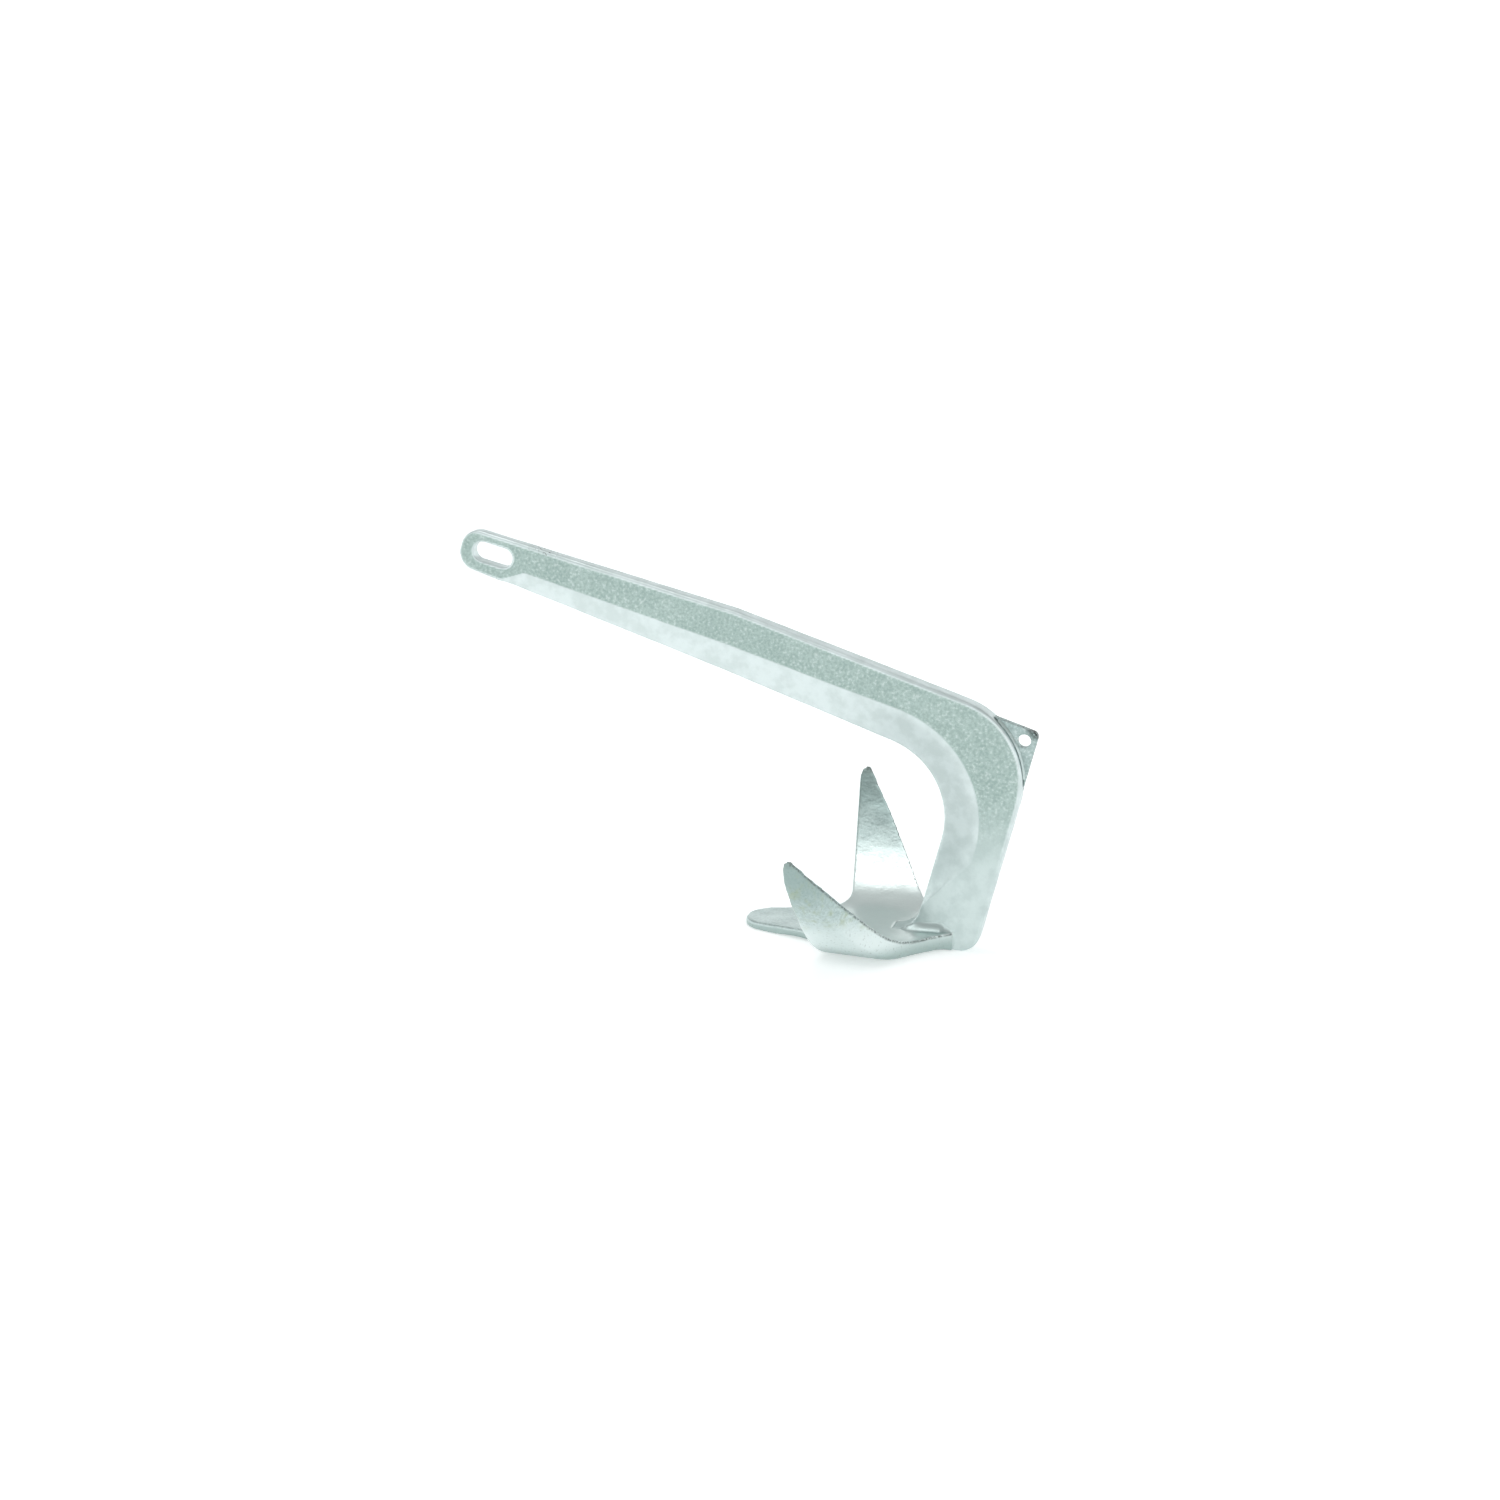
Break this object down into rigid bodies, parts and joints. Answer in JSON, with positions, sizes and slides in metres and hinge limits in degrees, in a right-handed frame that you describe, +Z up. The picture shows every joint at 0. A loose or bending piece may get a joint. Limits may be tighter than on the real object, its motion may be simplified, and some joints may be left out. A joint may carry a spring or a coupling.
{
  "type": "boat anchor",
  "caption": "Rigid galvanised claw anchor: bent shank with a shackle slot at the eye, three-fluke claw and a trip line lug; it digs in when pulled along the seabed.",
  "frame": {"origin": "on the floor under the middle of the bounding box, with the anchor standing on its claw", "axes": "+Z up, +X from the eye towards the crown and the trip line lug, Y across the flukes"},
  "size_m": [0.5319, 0.3392, 0.3311],
  "materials": {
    "galvanised_shank": "hot-dip galvanised forging, orange-peel grain, satin",
    "galvanised_claw": "hot-dip galvanised casting, fine grain, satin",
    "galvanised_lug": "hot-dip galvanised plate, dark worn edge",
    "galvanised_weld": "hot-dip galvanised weld bead, bright"
  },
  "bodies": {
    "root": {"shank": "galvanised_shank", "claw": "galvanised_claw", "trip_line_lug": "galvanised_lug", "claw_weld_left": "galvanised_weld", "claw_weld_right": "galvanised_weld", "lug_weld_left": "galvanised_weld", "lug_weld_right": "galvanised_weld"}
  },
  "joints": []
}
